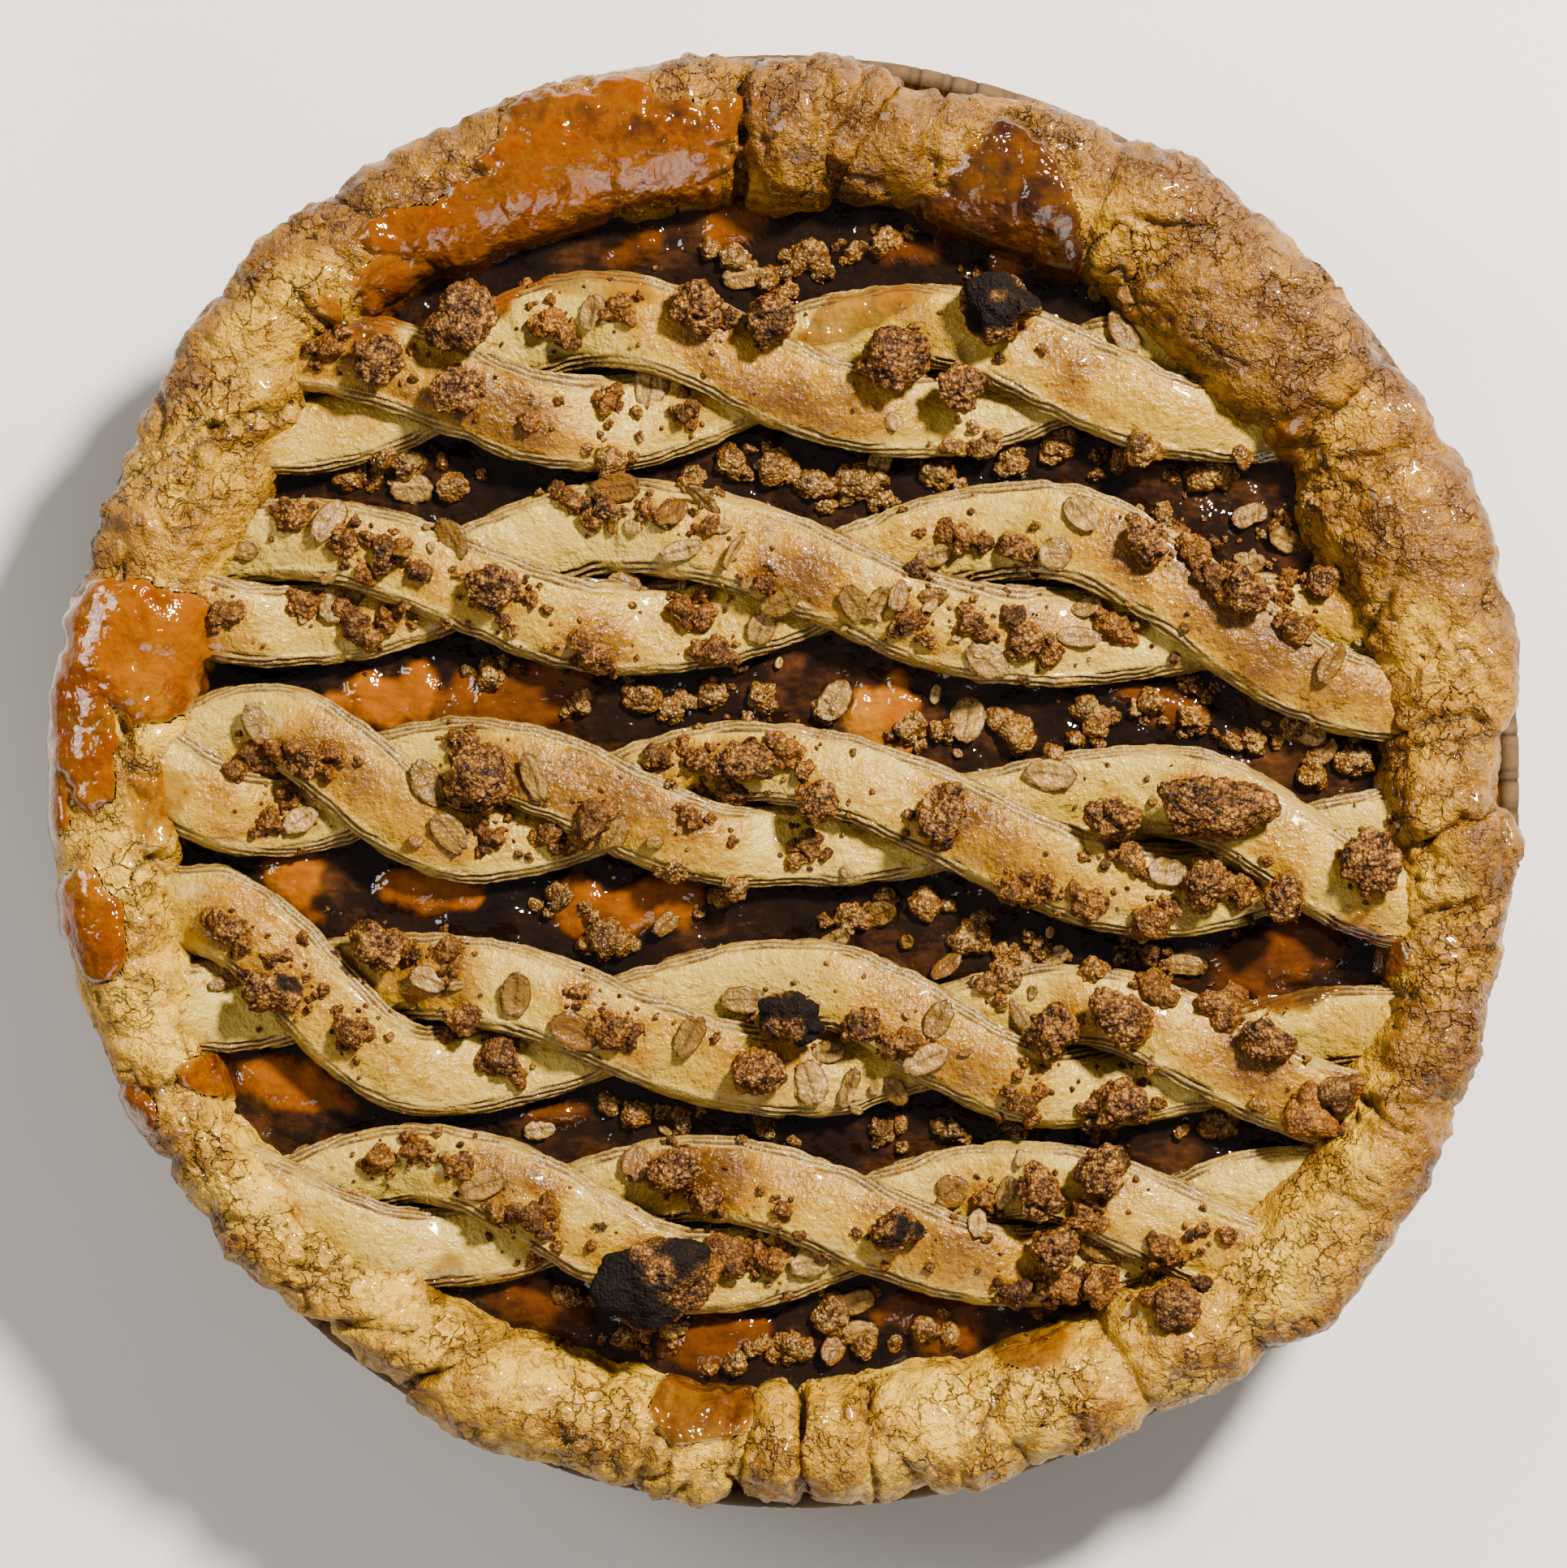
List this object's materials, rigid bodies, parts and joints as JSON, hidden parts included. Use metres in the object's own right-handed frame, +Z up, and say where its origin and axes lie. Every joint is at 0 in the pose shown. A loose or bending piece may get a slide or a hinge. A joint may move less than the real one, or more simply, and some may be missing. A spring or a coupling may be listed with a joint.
{
  "type": "peach pie",
  "caption": "Round peach pie in a pleated paper pan, with a crimped crust, twisted pastry strips, oat crumble and dark peach syrup.",
  "frame": {"origin": "centre of the pan's flat base, on the surface that it stands on", "axes": "+Z up out of the open top; +X to the right and +Y to the top of the pie as seen from above, with the strips running along X"},
  "size_m": [0.2418, 0.2396, 0.0555],
  "materials": {
    "paperboard": "uncoated brown kraft board, pleated, with a rolled rim",
    "crimped_pastry": "baked flaky pastry, golden at the crests, pale inside, glazed with syrup in places",
    "strip_pastry": "pale straw baked pastry with golden patches and layered sides",
    "peach_filling": "dark red-brown glossy syrup with orange peach",
    "crumble": "grainy brown baked crumble, burnt in places"
  },
  "bodies": {
    "root": {"crumble_01": "crumble", "crumble_02": "crumble", "crumble_03": "crumble", "crumble_04": "crumble", "crumble_05": "crumble", "crumble_06": "crumble", "crumble_07": "crumble", "crumble_08": "crumble", "crumble_09": "crumble", "crumble_10": "crumble", "crumble_11": "crumble", "crumble_12": "crumble", "crumble_13": "crumble", "crumble_14": "crumble", "crumble_15": "crumble", "crumble_16": "crumble", "crumble_17": "crumble", "crumble_18": "crumble", "crumble_19": "crumble", "crumble_20": "crumble", "crumble_21": "crumble", "crumble_22": "crumble", "crumble_23": "crumble", "crumble_24": "crumble", "crumble_25": "crumble", "crumble_26": "crumble", "crumble_27": "crumble", "crumble_28": "crumble", "crumble_29": "crumble", "crumble_30": "crumble", "crumble_31": "crumble", "crumble_32": "crumble", "crumble_33": "crumble", "crumble_34": "crumble", "paper_pan": "paperboard", "pastry_shell": "crimped_pastry", "peach_filling": "peach_filling", "strip_1a": "strip_pastry", "strip_1b": "strip_pastry", "strip_2a": "strip_pastry", "strip_2b": "strip_pastry", "strip_3a": "strip_pastry", "strip_3b": "strip_pastry", "strip_4a": "strip_pastry", "strip_4b": "strip_pastry", "strip_5a": "strip_pastry", "strip_5b": "strip_pastry"}
  },
  "joints": []
}
